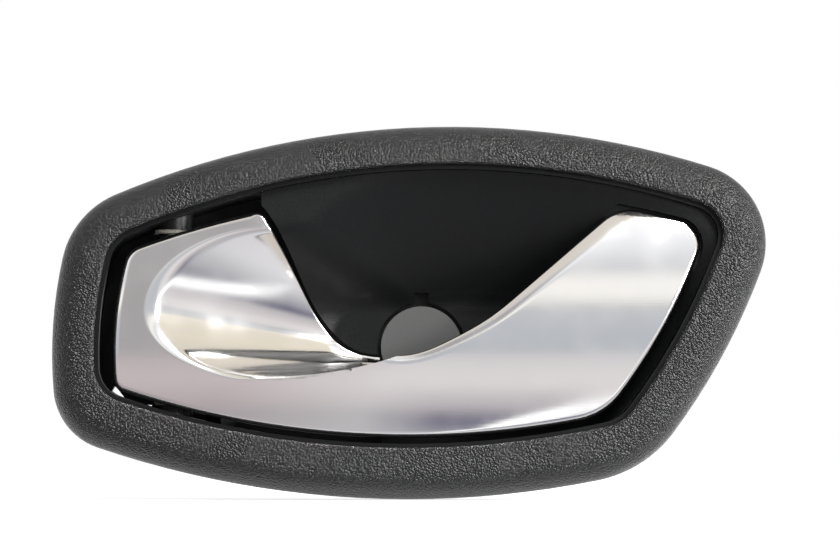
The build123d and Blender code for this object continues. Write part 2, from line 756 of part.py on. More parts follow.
# Screws that hold the shell on its carrier
with BuildPart() as carrier_screws:
    with BuildSketch(Plane.XZ.offset(plate_level)):
        with Locations((shell_screw_x, shell_screw_low), (shell_screw_x, shell_screw_high)):
            Circle(screw_radius)
    extrude(amount=shell_screw_grip, dir=TO_CABIN)
    with BuildSketch(Plane.XZ.offset(plate_level - screw_head)):
        with Locations((shell_screw_x, shell_screw_low), (shell_screw_x, shell_screw_high)):
            Circle(screw_head_radius)
    extrude(amount=screw_head, dir=TO_CABIN)
carrier_screws.part.label = "carrier_screws"
export_step(carrier_screws.part, "parts/carrier_screws.step")

# Screws that hold the bezel on the bowl
with BuildPart() as bezel_screws:
    for spot in screw_spots:
        with BuildSketch(Plane.XZ.offset(post_level - lug_thickness)):
            with Locations(screw_spot(*spot)):
                Circle(screw_radius)
        extrude(amount=lug_thickness + screw_grip, dir=TO_CABIN)
        with BuildSketch(Plane.XZ.offset(post_level - lug_thickness - screw_head)):
            with Locations(screw_spot(*spot)):
                Circle(screw_head_radius)
        extrude(amount=screw_head, dir=TO_CABIN)
bezel_screws.part.label = "bezel_screws"
export_step(bezel_screws.part, "parts/bezel_screws.step")

# Rubber buffers
with BuildPart() as upper_rest_buffer:
    with BuildSketch(Plane.XZ.offset(rest_top)):
        with Locations(rest_spot(upper_rest_angle)):
            Circle(rest_pad_radius)
    extrude(amount=rest_pad, dir=TO_CABIN)
upper_rest_buffer.part.label = "upper_rest_buffer"
export_step(upper_rest_buffer.part, "parts/upper_rest_buffer.step")

with BuildPart() as lower_rest_buffer:
    with BuildSketch(Plane.XZ.offset(rest_top)):
        with Locations(rest_spot(lower_rest_angle)):
            Circle(rest_pad_radius)
    extrude(amount=rest_pad, dir=TO_CABIN)
lower_rest_buffer.part.label = "lower_rest_buffer"
export_step(lower_rest_buffer.part, "parts/lower_rest_buffer.step")

with BuildPart() as open_stop_buffer:
    with BuildSketch(stop_turn.offset(stop_low)):
        with Locations((stop_face + stop_pad / 2, stop_along - (stop_post_length - stop_pad_length) / 2)):
            Rectangle(stop_pad, stop_pad_length)
    extrude(amount=stop_high - stop_low)
open_stop_buffer.part.label = "open_stop_buffer"
export_step(open_stop_buffer.part, "parts/open_stop_buffer.step")
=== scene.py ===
# %% [markdown]
# # A car interior door handle
# The real handle is a grained black bezel around a smooth finger bowl, with a chrome lever that
# swings out of it on a pin. The CAD model already holds every piece at its real size, so this
# script loads it as a fixed frame, carves softer faces into the lever and the bowl, and gives each
# surface its finish. Blender's lengths are metres, the sizes below are millimetres. +X is to the
# right seen from the cabin, +Z is up and the face looks along -Y.

# %% Load the frame
import math

import bpy
import numpy as np
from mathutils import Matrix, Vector
from mathutils.geometry import delaunay_2d_cdt


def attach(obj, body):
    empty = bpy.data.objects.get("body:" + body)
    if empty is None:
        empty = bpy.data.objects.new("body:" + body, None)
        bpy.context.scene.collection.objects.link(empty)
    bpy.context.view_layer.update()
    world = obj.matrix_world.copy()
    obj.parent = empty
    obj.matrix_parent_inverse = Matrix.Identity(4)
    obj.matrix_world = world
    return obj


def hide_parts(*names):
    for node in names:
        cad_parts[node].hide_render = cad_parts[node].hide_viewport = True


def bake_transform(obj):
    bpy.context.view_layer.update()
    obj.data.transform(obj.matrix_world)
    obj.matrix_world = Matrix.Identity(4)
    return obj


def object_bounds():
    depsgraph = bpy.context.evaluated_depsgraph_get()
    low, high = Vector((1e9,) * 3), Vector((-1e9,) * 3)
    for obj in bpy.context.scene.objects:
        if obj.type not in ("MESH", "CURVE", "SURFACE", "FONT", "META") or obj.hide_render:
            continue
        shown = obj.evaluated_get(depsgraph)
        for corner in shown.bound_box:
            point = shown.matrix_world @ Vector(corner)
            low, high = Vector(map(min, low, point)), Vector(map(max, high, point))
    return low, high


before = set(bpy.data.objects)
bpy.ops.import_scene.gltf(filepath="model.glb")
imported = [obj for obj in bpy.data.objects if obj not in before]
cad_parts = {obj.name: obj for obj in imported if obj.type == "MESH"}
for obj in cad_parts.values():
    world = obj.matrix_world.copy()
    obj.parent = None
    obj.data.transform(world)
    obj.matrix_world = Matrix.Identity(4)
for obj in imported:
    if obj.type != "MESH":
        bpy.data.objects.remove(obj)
scene = bpy.context.scene
cad_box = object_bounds()
MM = 0.001
print("CAD box in mm:", [[round(v / MM, 1) for v in corner] for corner in cad_box])

# %% [markdown]
# ## Camera
# The photograph looks straight at the handle from a little below its middle, so the underside of
# the lever's lower edge just shows. A long lens from about three quarters of a metre keeps the
# outline nearly free of perspective. The aim point is the middle of the frame on the bezel's plane.

# %% Camera
IMAGE_WIDTH, BEZEL_PIXELS = 840, 716
BEZEL_LENGTH = 160
MM_PER_PIXEL = BEZEL_LENGTH / BEZEL_PIXELS
AIM = Vector((-0.34, -29.0, 14.5)) * MM
CAMERA_DISTANCE = 750 * MM
CAMERA_BELOW = math.radians(3.0)

lens_data = bpy.data.cameras.new("camera")
lens_data.sensor_width = 36
lens_data.lens = lens_data.sensor_width * CAMERA_DISTANCE / (IMAGE_WIDTH * MM_PER_PIXEL * MM)
camera = bpy.data.objects.new("camera", lens_data)
scene.collection.objects.link(camera)
towards_camera = Vector((0, -math.cos(CAMERA_BELOW), -math.sin(CAMERA_BELOW)))
camera.location = AIM + towards_camera * CAMERA_DISTANCE
camera.rotation_euler = (-towards_camera).to_track_quat("-Z", "Y").to_euler()
scene.camera = camera
print("camera at", [round(v, 3) for v in camera.location], "lens", round(lens_data.lens, 1))

# %% [markdown]
# ## Materials
# Every finish is a small node tree on the piece's own Object coordinates, so a pattern keeps its
# real scale. These helpers keep the trees short: one makes a shader with its plain values, one
# adds a node and sets its inputs by name, one makes a link.

# %% Material helpers
def finish(name, **sockets):
    """A new material whose shader has these plain values on its sockets."""
    material = bpy.data.materials.new(name)
    material.use_nodes = True
    shader = material.node_tree.nodes["Principled BSDF"]
    for socket, value in sockets.items():
        shader.inputs[socket.replace("_", " ")].default_value = value
    return material, shader


def node(material, kind, settings=None, **inputs):
    """A node of a kind, with settings on the node and values or links on its inputs."""
    made = material.node_tree.nodes.new("ShaderNode" + kind)
    for key, value in (settings or {}).items():
        setattr(made, key, value)
    for key, value in inputs.items():
        socket = made.inputs[key.replace("_", " ")]
        if isinstance(value, bpy.types.NodeSocket):
            material.node_tree.links.new(value, socket)
        else:
            socket.default_value = value
    return made


def join(material, output, target):
    """A link between two sockets."""
    material.node_tree.links.new(output, target)


def spread(material, source, low, high):
    """A noise value, most of which lies from 0.3 to 0.7, stretched to a range of its own."""
    usual = {"From_Min": 0.3, "From_Max": 0.7}
    return node(material, "MapRange", Value=source, **usual, To_Min=low, To_Max=high).outputs["Result"]


# %% [markdown]
# The bezel's leather grain is a field of small pebbles with finer noise on them. The bowl has a
# much finer satin texture. Real pebbles would take very many faces, and they are under half a
# millimetre wide, so a bump in the shader looks the same. Both plastics are nearly black, so what
# shows is their sheen.

# %% Black plastics
def grained_plastic():
    """Black plastic moulded with a leather grain: small pebbles with a finer noise on them."""
    material, shader = finish(
        "grained_plastic", Base_Color=(0.004, 0.0042, 0.0044, 1), Specular_IOR_Level=0.36
    )
    place = node(material, "TexCoord").outputs["Object"]
    rounded = {"feature": "SMOOTH_F1"}
    pebbles = node(material, "TexVoronoi", rounded, Vector=place, Scale=2200, Smoothness=0.4)
    fine = node(material, "TexNoise", Vector=place, Scale=4200, Detail=2)
    grain = node(material, "Math", {"operation": "MULTIPLY_ADD"})
    join(material, fine.outputs["Fac"], grain.inputs[0])
    grain.inputs[1].default_value = 0.4
    join(material, pebbles.outputs["Distance"], grain.inputs[2])
    bump = node(material, "Bump", {"invert": True}, Strength=0.9, Distance=0.00034, Height=grain.outputs[0])
    join(material, bump.outputs["Normal"], shader.inputs["Normal"])
    patches = node(material, "TexNoise", Vector=place, Scale=60, Detail=3)
    join(material, spread(material, patches.outputs["Fac"], 0.22, 0.3), shader.inputs["Roughness"])
    return material


def satin_plastic(name, colour, rough):
    """Plastic with a fine satin texture."""
    material, shader = finish(name, Base_Color=(*colour, 1), Specular_IOR_Level=0.15)
    place = node(material, "TexCoord").outputs["Object"]
    fine = node(material, "TexNoise", Vector=place, Scale=2200, Detail=2)
    bump = node(material, "Bump", Strength=0.35, Distance=0.00012, Height=fine.outputs["Fac"])
    join(material, bump.outputs["Normal"], shader.inputs["Normal"])
    patches = node(material, "TexNoise", Vector=place, Scale=45, Detail=3)
    uneven = spread(material, patches.outputs["Fac"], rough - 0.04, rough + 0.04)
    join(material, uneven, shader.inputs["Roughness"])
    return material


# %% [markdown]
# The chrome is polished but handled: hairline marks run across the paddle, and the polish varies
# a little from place to place. A noise that is stretched along one way gives the hairlines without
# a picture file. The steel pieces are zinc plated and the buffers are matt rubber with a trace of
# dust. The bushes are nylon in a tone much darker than natural nylon, which is painted shade for
# the dark gap they sit in.

# %% Chrome, steel, nylon and rubber
def chrome_plate():
    """Polished chrome with faint hairlines and a slightly uneven polish."""
    material, shader = finish("chrome_plate", Base_Color=(0.84, 0.83, 0.83, 1), Metallic=1.0)
    place = node(material, "TexCoord").outputs["Object"]
    lean = (0, math.radians(35), 0)
    turned = node(material, "Mapping", Vector=place, Rotation=lean, Scale=(120, 120, 2600))
    hairs = node(material, "TexNoise", Vector=turned.outputs["Vector"], Scale=1, Detail=3)
    bump = node(material, "Bump", Strength=0.05, Distance=0.00004, Height=hairs.outputs["Fac"])
    join(material, bump.outputs["Normal"], shader.inputs["Normal"])
    patches = node(material, "TexNoise", Vector=place, Scale=90, Detail=4)
    join(material, spread(material, patches.outputs["Fac"], 0.06, 0.15), shader.inputs["Roughness"])
    return material


def plain_steel(name, dark, light, rough):
    """Steel with a fine uneven grey, such as a zinc plating or a drawn wire."""
    material, shader = finish(name, Metallic=1.0)
    place = node(material, "TexCoord").outputs["Object"]
    clouds = node(material, "TexNoise", Vector=place, Scale=900, Detail=4)
    tone = node(material, "ValToRGB", Fac=clouds.outputs["Fac"])
    tone.color_ramp.elements[0].color = (dark, dark, dark * 1.05, 1)
    tone.color_ramp.elements[1].color = (light, light, light * 1.03, 1)
    join(material, tone.outputs["Color"], shader.inputs["Base Color"])
    uneven = spread(material, clouds.outputs["Fac"], rough - 0.08, rough + 0.08)
    join(material, uneven, shader.inputs["Roughness"])
    return material


def matt_rubber():
    """Black rubber with a trace of dust."""
    material, shader = finish("buffer_rubber", Specular_IOR_Level=0.3)
    place = node(material, "TexCoord").outputs["Object"]
    dust = node(material, "TexNoise", Vector=place, Scale=1400, Detail=5)
    tone = node(material, "ValToRGB", Fac=dust.outputs["Fac"])
    tone.color_ramp.elements[0].color = (0.008, 0.008, 0.008, 1)
    tone.color_ramp.elements[1].color = (0.035, 0.034, 0.032, 1)
    join(material, tone.outputs["Color"], shader.inputs["Base Color"])
    join(material, spread(material, dust.outputs["Fac"], 0.65, 0.85), shader.inputs["Roughness"])
    return material


# %% [markdown]
# Each finish is made once and goes on every piece of that stuff. The satin plastics differ only in
# their colour and in how rough they are, so one function makes them all.

# %% Finishes on the pieces
grained = grained_plastic()
smooth_black = satin_plastic("bowl_plastic", (0.0035, 0.0038, 0.004), 0.36)
cap_black = satin_plastic("cap_plastic", (0.064, 0.066, 0.064), 0.45)
carrier_black = satin_plastic("carrier_plastic", (0.01, 0.01, 0.0105), 0.42)
# Painted shade: the bushes' nylon is much darker than natural nylon, so they look shaded in their gap.
nylon_painted_dark = satin_plastic("bush_plastic", (0.22, 0.21, 0.18), 0.4)
chrome = chrome_plate()
steel = plain_steel("zinc_steel", 0.42, 0.66, 0.32)
wire = plain_steel("spring_steel", 0.34, 0.52, 0.22)
rubber = matt_rubber()

LOOKS = {
    grained: ["bezel"],
    smooth_black: ["bowl"],
    cap_black: ["screw_cap"],
    carrier_black: ["lever_carrier"],
    chrome: ["lever"],
    steel: ["screw_sleeve", "bezel_screws", "carrier_screws", "pivot_pin"],
    wire: ["pin_clip", "return_spring"],
    nylon_painted_dark: ["upper_bush", "lower_bush"],
    rubber: ["upper_rest_buffer", "lower_rest_buffer", "open_stop_buffer"],
}
for material, names in LOOKS.items():
    for name in names:
        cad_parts[name].data.materials.clear()
        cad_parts[name].data.materials.append(material)
print("finishes:", [material.name for material in LOOKS])

# %% [markdown]
# ## Outlines
# The bezel, the pocket and the lever all have four bowed sides. Each side is the rim of a large
# disc and each corner is a round that touches two of them from inside. The finger opening of the
# lever is two curves: the scoop's free edge, and the lip that rises to the paddle. Working the
# lines out from the same few sizes as the solids keeps the softer faces inside the solids' edges.

# %% Outline sizes
STEP = 0.35
RIGHT_RADIUS, TOP_RADIUS, LEFT_RADIUS, BOTTOM_RADIUS = 145.8, 192.1, 99.0, 214.6
RIGHT_X, RIGHT_Z, RIGHT_LEAN = 73.4, 10.5, math.radians(23.0)
TOP_X, TOP_REACH = 6.5, 48.8
LEFT_Z, LEFT_REACH = -1.6, 82.4
BOTTOM_X, BOTTOM_REACH = -2.9, 34.4
# A side is the centre of its disc in X and Z, and the disc's radius.
right_centre = (
    RIGHT_X - RIGHT_RADIUS * math.cos(RIGHT_LEAN),
    RIGHT_Z + RIGHT_RADIUS * math.sin(RIGHT_LEAN),
)
SIDES = {
    "right": (right_centre, RIGHT_RADIUS),
    "top": ((TOP_X, TOP_REACH - TOP_RADIUS), TOP_RADIUS),
    "left": ((LEFT_RADIUS - LEFT_REACH, LEFT_Z), LEFT_RADIUS),
    "bottom": ((BOTTOM_X, BOTTOM_RADIUS - BOTTOM_REACH), BOTTOM_RADIUS),
}
POCKET_INSET = {"right": 10.6, "top": 8.9, "left": 9.8, "bottom": 11.4}
POCKET_ROUNDS = [7.4, 9.0, 8.0, 10.0]
POCKET_LEDGE = 0.9
LEVER_GAP = {"right": 3.8, "left": 4.0, "bottom": 2.2}
LEVER_TOP_RADIUS, LEVER_TOP_REACH = 201.9, 34.4
LEVER_TOP = ((TOP_X, LEVER_TOP_REACH - LEVER_TOP_RADIUS), LEVER_TOP_RADIUS)
LEVER_ROUNDS = [5.7, 5.0, 3.0, 16.0]
FREE_EDGE = [(-36.2, 30.6), (-27.2, 13.6), (-22.2, 4.6), (-16.0, -0.9), (-9.5, -2.2)]
LIP_EDGE = [(-9.5, -2.2), (-2.6, -2.2), (6.4, 1.1), (15.3, 6.2), (22.0, 11.6), (31.0, 19.4), (46.5, 33.0)]
CORNERS = [
    ("right", "top", (1, 1)),
    ("top", "left", (-1, 1)),
    ("left", "bottom", (-1, -1)),
    ("bottom", "right", (1, -1)),
]
OPENING_ABOVE = 20.0
PADDLE_EASE, SCOOP_EASE, TOP_BEVEL = 4.6, 2.4, 15.0
print("side radii in mm:", {side: radius for side, (_, radius) in SIDES.items()})


# %% Outline helpers
def arc(centre, radius, start, end):
    """Points on a circle from the direction of one point to that of another, anticlockwise."""
    first, last = (math.atan2(*(np.array(point) - centre)[::-1]) for point in (start, end))
    sweep = (last - first) % (2 * math.pi)
    turn = first + np.linspace(0, sweep, max(3, int(radius * sweep / STEP)), endpoint=False)
    return np.array(centre) + radius * np.column_stack((np.cos(turn), np.sin(turn)))


def round_centre(one, other, radius, way):
    """Centre of the round that touches two discs from inside, at the corner that lies that way."""
    (a, reach_a), (b, reach_b) = one, other
    a, b = np.array(a), np.array(b)
    reach_a, reach_b = reach_a - radius, reach_b - radius
    apart = np.linalg.norm(b - a)
    along = (reach_a**2 - reach_b**2 + apart**2) / (2 * apart)
    axis = (b - a) / apart
    across = np.array((-axis[1], axis[0])) * math.sqrt(reach_a**2 - along**2)
    foot = a + axis * along
    return max(foot + across, foot - across, key=lambda point: point @ np.array(way))


def four_sided(discs, rounds):
    """The outline of the overlap of four discs, with its corners rounded, anticlockwise."""
    centres = [round_centre(discs[a], discs[b], r, way) for (a, b, way), r in zip(CORNERS, rounds)]
    stretches = []
    for number, (side, following, _) in enumerate(CORNERS):
        here, radius = centres[number], rounds[number]
        stretches.append(arc(*discs[side], centres[number - 1], here))
        stretches.append(arc(here, radius, 2 * here - discs[side][0], 2 * here - discs[following][0]))
    return np.concatenate(stretches)


def smooth_curve(knots):
    """Points on a cubic curve through some knots that is straight at both ends."""
    knots = np.array(knots)
    place = np.concatenate([[0], np.cumsum(np.linalg.norm(np.diff(knots, axis=0), axis=1))])
    gap = np.diff(place)
    rows, known = np.eye(len(knots)), np.zeros(knots.shape)
    for i in range(1, len(knots) - 1):
        rows[i, i - 1 : i + 2] = gap[i - 1], 2 * (gap[i - 1] + gap[i]), gap[i]
        known[i] = 6 * ((knots[i + 1] - knots[i]) / gap[i] - (knots[i] - knots[i - 1]) / gap[i - 1])
    bend = np.linalg.solve(rows, known)
    at = np.arange(0, place[-1], STEP)
    i = np.clip(np.searchsorted(place, at, "right") - 1, 0, len(gap) - 1)
    after, before, span = (place[i + 1] - at)[:, None], (at - place[i])[:, None], gap[i][:, None]
    cubic = (bend[i] * after**3 + bend[i + 1] * before**3) / (6 * span)
    from_knot = (knots[i] / span - bend[i] * span / 6) * after
    to_knot = (knots[i + 1] / span - bend[i + 1] * span / 6) * before
    return cubic + from_knot + to_knot


def eased(points, corner, reach):
    """The same open line with one sharp corner replaced by a parabola."""
    count = int(reach / STEP)
    t = np.linspace(0, 1, 2 * count)[:, None]
    start, end = points[corner - count], points[corner + count]
    curve = (1 - t) ** 2 * start + 2 * t * (1 - t) * points[corner] + t**2 * end
    return np.concatenate([points[: corner - count], curve[:-1], points[corner + count :]])


def even_loop(points, step):
    """A closed line with points at an even distance."""
    loop = np.vstack([points, points[:1]])
    place = np.concatenate([[0], np.cumsum(np.linalg.norm(np.diff(loop, axis=0), axis=1))])
    at = np.linspace(0, place[-1], int(place[-1] / step), endpoint=False)
    return np.column_stack([np.interp(at, place, loop[:, axis]) for axis in (0, 1)])


def inward(loop):
    """The unit direction into the shape at each point of an anticlockwise closed line."""
    along = np.roll(loop, -1, axis=0) - np.roll(loop, 1, axis=0)
    along /= np.linalg.norm(along, axis=1)[:, None]
    return np.column_stack((-along[:, 1], along[:, 0]))


# %% Lever and pocket outlines
lever_discs = {
    side: (SIDES[side][0], SIDES[side][1] - POCKET_INSET[side] - LEVER_GAP[side]) for side in LEVER_GAP
}
lever_discs["top"] = LEVER_TOP
shell = four_sided(lever_discs, LEVER_ROUNDS)
lip = smooth_curve(LIP_EDGE)
opening = np.concatenate([smooth_curve(FREE_EDGE), lip])
opening = opening[np.linalg.norm(opening - LEVER_TOP[0], axis=1) < LEVER_TOP[1]][::-1]
within = (shell[:, 0] < opening[0, 0]) & (shell[:, 0] > opening[-1, 0])
cut_away = within & (shell[:, 1] > OPENING_ABOVE)
first, last = np.flatnonzero(cut_away)[[0, -1]]
lever_line = np.concatenate([shell[:first], opening, shell[last + 1 :]])
lever_line = eased(lever_line, first + len(opening) - 1, SCOOP_EASE)
lever_line = eased(lever_line, first, PADDLE_EASE)
bevel_line = lever_line[first - int(TOP_BEVEL / STEP) : first + len(lip)]
pocket_discs = {
    side: (centre, radius - POCKET_INSET[side] - POCKET_LEDGE) for side, (centre, radius) in SIDES.items()
}
pocket_line = four_sided(pocket_discs, [radius - POCKET_LEDGE for radius in POCKET_ROUNDS])
print("lever outline", len(lever_line), "points, pocket outline", len(pocket_line), "points")

# %% [markdown]
# ## Soft faces
# A level is a distance from the back of the fixing boss towards the cabin. The lever's face is a
# gently crowned sheet that dips into the scoop with a soft rim, and a bevel runs along its lip.
# The bowl is two egg-shaped hollows that run into each other. Each egg shrinks evenly from its
# mouth to its floor, so the level at a point is where the shrinking egg passes through it. A
# formula for the level gives smooth reflections, which chrome needs more than any other finish.

# %% Face sizes
LEVER_LEVEL, FLOOR_LEVEL, LAND_LEVEL = 34.0, 15.0, 31.7
CROWN_ALONG, CROWN_ACROSS, CROWN_Z = 2000.0, 150.0, 2.0
# An egg is its middle in X and Z, its reach to the left, right, top and bottom, and its level.
SCOOP = {
    "mouth": (-33.85, 7.8, 25.0, 40.0, 18.3, 14.8, 32.5),
    "floor": (-10.4, 1.5, 10.0, 14.0, 8.0, 5.0, 15.0),
}
BOWL = {
    "mouth": (7.5, 10.0, 45.8, 67.0, 33.5, 44.7, 34.0),
    "floor": (10.8, 1.1, 21.2, 29.0, 8.9, 14.5, 15.0),
}
EGG_SHARES, HALVINGS = (-0.2, 2.5), 40
SCOOP_DISH = 0.7
SLOPE_STEP = 0.2
# How soft a change is on a sloping wall: a share of the slope, then the least and the most.
FLOOR_SOFT, RIM_SOFT = (1.2, 0.6, 5.0), (0.9, 1.1, 3.6)
RIDGE_SOFT, BASE_SOFT, LAND_SOFT = 4.0, 2.0, 1.5
BEVEL_SLOPE, BEVEL_SOFT = 0.3, 0.25
# The bevel's width at some shares of its line, from the paddle's top to the end of the lip.
BEVEL_WIDTHS = ((0.0, 0.07, 0.17, 0.93, 1.0), (0.5, 1.4, 2.8, 1.0, 0.3))
FACE_DROP = 0.12
print("levels in mm: lever", LEVER_LEVEL, "land", LAND_LEVEL, "floor", FLOOR_LEVEL)


# %% Face levels
def lower_of(a, b, soft):
    """The lower of two levels, with a soft change from one to the other."""
    share = np.clip(0.5 + 0.5 * (b - a) / soft, 0, 1)
    return b + (a - b) * share - soft * share * (1 - share)


def softness(steep, rule):
    """How soft a change of level is on a wall of some slope."""
    share, least, most = rule
    return np.clip(share * steep, least, most)


def egg_level(egg, x, z):
    """The level of an egg-shaped hollow's wall at a point, or its floor's inside it."""
    mouth, floor = np.array(egg["mouth"]), np.array(egg["floor"])
    low, high = (np.full(x.shape, share) for share in EGG_SHARES)
    for _ in range(HALVINGS):
        t = (low + high) / 2
        cx, cz, left, right, top, bottom, _ = (floor + (mouth - floor) * t[:, None]).T
        across = (x - cx) / np.where(x < cx, left, right)
        upward = (z - cz) / np.where(z < cz, bottom, top)
        outside = across**2 + upward**2 > 1
        low, high = np.where(outside, t, low), np.where(outside, high, t)
    return floor[-1] + (mouth[-1] - floor[-1]) * (low + high) / 2


def crown_level(x, z):
    """The level of the lever's gently bowed face."""
    reach = CROWN_ALONG - CROWN_ACROSS + np.sqrt(CROWN_ACROSS**2 - (z - CROWN_Z) ** 2)
    return np.sqrt(reach**2 - x**2) - CROWN_ALONG + LEVER_LEVEL


def scoop_level(x, z):
    """The scoop's wall, slightly dished, with a round floor, and how steep the wall is."""
    wall = egg_level(SCOOP, x, z)
    share = np.clip((wall - FLOOR_LEVEL) / (SCOOP["mouth"][-1] - FLOOR_LEVEL), 0, 1)
    dished = wall - 4 * SCOOP_DISH * share * (1 - share)
    right = egg_level(SCOOP, x + SLOPE_STEP, z) - wall
    up = egg_level(SCOOP, x, z + SLOPE_STEP) - wall
    steep = np.hypot(right, up) / SLOPE_STEP
    floor = np.full(x.shape, -FLOOR_LEVEL)
    return -lower_of(-dished, floor, softness(steep, FLOOR_SOFT)), steep


def lever_level(x, z):
    """The lever's face: the crown, the scoop with a soft rim, and the bevel along the lip and paddle."""
    scoop, steep = scoop_level(x, z)
    face = lower_of(crown_level(x, z), scoop, softness(steep, RIM_SOFT))
    apart = np.linalg.norm(np.column_stack((x, z))[:, None] - bevel_line[None, ::2], axis=2)
    widths = np.interp(np.linspace(0, 1, len(bevel_line))[::2], *BEVEL_WIDTHS)
    bevel = crown_level(x, z) - BEVEL_SLOPE * (widths[apart.argmin(axis=1)] - apart.min(axis=1))
    return np.where(x > LIP_EDGE[0][0], lower_of(face, bevel, BEVEL_SOFT), face) - FACE_DROP


def bowl_level(x, z):
    """The bowl's face: two hollows with a soft ridge between them and a soft rim at the land."""
    hollow = lower_of(egg_level(BOWL, x, z), egg_level(SCOOP, x, z), RIDGE_SOFT)
    hollow = -lower_of(-hollow, np.full(x.shape, -FLOOR_LEVEL), BASE_SOFT)
    return lower_of(hollow, np.full(x.shape, LAND_LEVEL), LAND_SOFT) - FACE_DROP


# %% [markdown]
# A carving tool is a closed block over an outline: one side is the soft face, the other is flat.
# The face's triangles come from rings along the outline, which round its edge, and an even grid
# inside them, with rows that follow the scoop. The lever is what its solid and its tool share. The
# bowl is its solid less its tool. Sculpting by hand would do too, but a tool that is worked out
# gives the same mesh each time.

# %% Rows round the scoop
SCOOP_PAST, ROW_CLEAR = 1.3, 0.3
ROW_POINTS = 360
ROW_SHARES = np.concatenate([np.linspace(0.02, 0.86, 31), np.linspace(0.87, SCOOP_PAST, 34)])


def inside(points, loop):
    """Which points lie inside a closed line, by counting the edges to their right."""
    x, z = points[:, 0], points[:, 1]
    hit = np.zeros(len(points), bool)
    for (ax, az), (bx, bz) in zip(loop, np.roll(loop, -1, axis=0)):
        spans = (az > z) != (bz > z)
        if az != bz:
            hit ^= spans & (x < (bx - ax) * (z - az) / (bz - az) + ax)
    return hit


def scoop_rows():
    """Points in rows round the scoop, from its floor to just past its rim."""
    mouth, floor = np.array(SCOOP["mouth"]), np.array(SCOOP["floor"])
    turn = np.linspace(0, 2 * math.pi, ROW_POINTS, endpoint=False)
    rows = []
    for share in ROW_SHARES:
        cx, cz, left, right, top, bottom, _ = floor + (mouth - floor) * share
        x = cx + np.where(np.cos(turn) < 0, left, right) * np.cos(turn)
        z = cz + np.where(np.sin(turn) < 0, bottom, top) * np.sin(turn)
        rows.append(np.column_stack((x, z)))
    return np.concatenate(rows)


print("scoop rows:", len(ROW_SHARES), "of", ROW_POINTS, "points")

# %% Carving block
ROUND_SHARES = [0.0, 0.04, 0.13, 0.3, 0.52, 0.76, 1.0, 1.35]
MERGE_GAP = 1e-6


def carving_block(name, loop, rounding, level, flat, spacing, rows=None):
    """A closed block over an outline, between a soft face with a rounded edge and a flat level."""
    way = inward(loop)
    rings = [loop + way * rounding[:, None] * share for share in ROUND_SHARES]
    drops = [rounding * (1 - math.sqrt(1 - (1 - min(share, 1.0)) ** 2)) for share in ROUND_SHARES]
    low, high = loop.min(axis=0), loop.max(axis=0)
    ticks = [np.arange(a, b, spacing) for a, b in zip(low, high)]
    grid = np.stack(np.meshgrid(*ticks), axis=-1).reshape(-1, 2)
    if rows is not None:
        past = FLOOR_LEVEL + (SCOOP["mouth"][-1] - FLOOR_LEVEL) * SCOOP_PAST + ROW_CLEAR
        grid = np.concatenate([grid[egg_level(SCOOP, *grid.T) > past], rows])
    grid = grid[inside(grid, loop + way * (rounding[:, None] * ROUND_SHARES[-1] + spacing * 0.5))]
    points = np.concatenate(rings + [grid])
    drop = np.concatenate(drops + [np.zeros(len(grid))])
    count = len(loop)
    edges = [(i, (i + 1) % count) for i in range(count)]
    flat_points = [Vector(point) for point in points]
    spots, _, triangles, origins, _, _ = delaunay_2d_cdt(flat_points, edges, [], 1, MERGE_GAP)
    order = [origin[0] for origin in origins]
    points, drop = np.array([tuple(spot) for spot in spots]), drop[order]
    face = level(points[:, 0], points[:, 1]) - drop
    vertices = np.column_stack((points[:, 0], -face, points[:, 1]))
    back = np.column_stack((points[:, 0], np.full(len(points), -flat), points[:, 1]))
    triangles = [tuple(triangle) for triangle in triangles]
    under = len(points)
    rim = {origin: number for number, origin in enumerate(order) if origin < count}
    sides = [(rim[b], rim[a], rim[a] + under, rim[b] + under) for a, b in edges]
    block = bpy.data.meshes.new(name)
    faces = triangles + [tuple(v + under for v in triangle[::-1]) for triangle in triangles] + sides
    block.from_pydata(np.concatenate([vertices, back]) * MM, [], faces)
    # A block whose flat side lies in front of its soft face is inside out until it is turned.
    if flat > face.max():
        block.flip_normals()
    return bpy.data.objects.new(name, block)


# %% Carving helpers
MERGE_DECIMALS = 8
SHARP_ANGLE = math.radians(38)


def plain_mesh(piece):
    """The mesh that a piece's modifiers make."""
    return bpy.data.meshes.new_from_object(piece.evaluated_get(bpy.context.evaluated_depsgraph_get()))


def combined(piece, block, operation):
    """A piece's mesh after a block has been cut from it, shared with it or added to it."""
    scene.collection.objects.link(block)
    cut = piece.modifiers.new("cut", "BOOLEAN")
    cut.operation, cut.solver, cut.object = operation, "MANIFOLD", block
    piece.data = plain_mesh(piece)
    piece.modifiers.clear()
    bpy.data.objects.remove(block)


def carved(name, source, blocks):
    """A copy of a solid, changed by some blocks, that stands for the solid."""
    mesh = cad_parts[source].data
    corners = np.empty(len(mesh.vertices) * 3)
    mesh.vertices.foreach_get("co", corners)
    corners = np.round(corners.reshape(-1, 3), MERGE_DECIMALS)
    places, same = np.unique(corners, axis=0, return_inverse=True)
    triangles = [[int(same[v]) for v in polygon.vertices] for polygon in mesh.polygons]
    whole = bpy.data.meshes.new(name)
    whole.from_pydata(places, [], [triangle for triangle in triangles if len(set(triangle)) == 3])
    piece = bpy.data.objects.new(name, whole)
    scene.collection.objects.link(piece)
    for block, operation in blocks:
        combined(piece, block, operation)
    piece.data.shade_smooth()
    piece.data.set_sharp_from_angle(angle=SHARP_ANGLE)
    piece.data.materials.clear()
    piece.data.materials.append(mesh.materials[0])
    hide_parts(source)
    print(name, len(piece.data.polygons), "faces")
    return piece


# %% [markdown]
# The lever is one thin moulding with a chrome skin. Its edge is softly rounded, with a smaller
# round along the finger opening. A bevel modifier could round it too, but here the rounding is part
# of the carving tool, where its size can change along the outline.

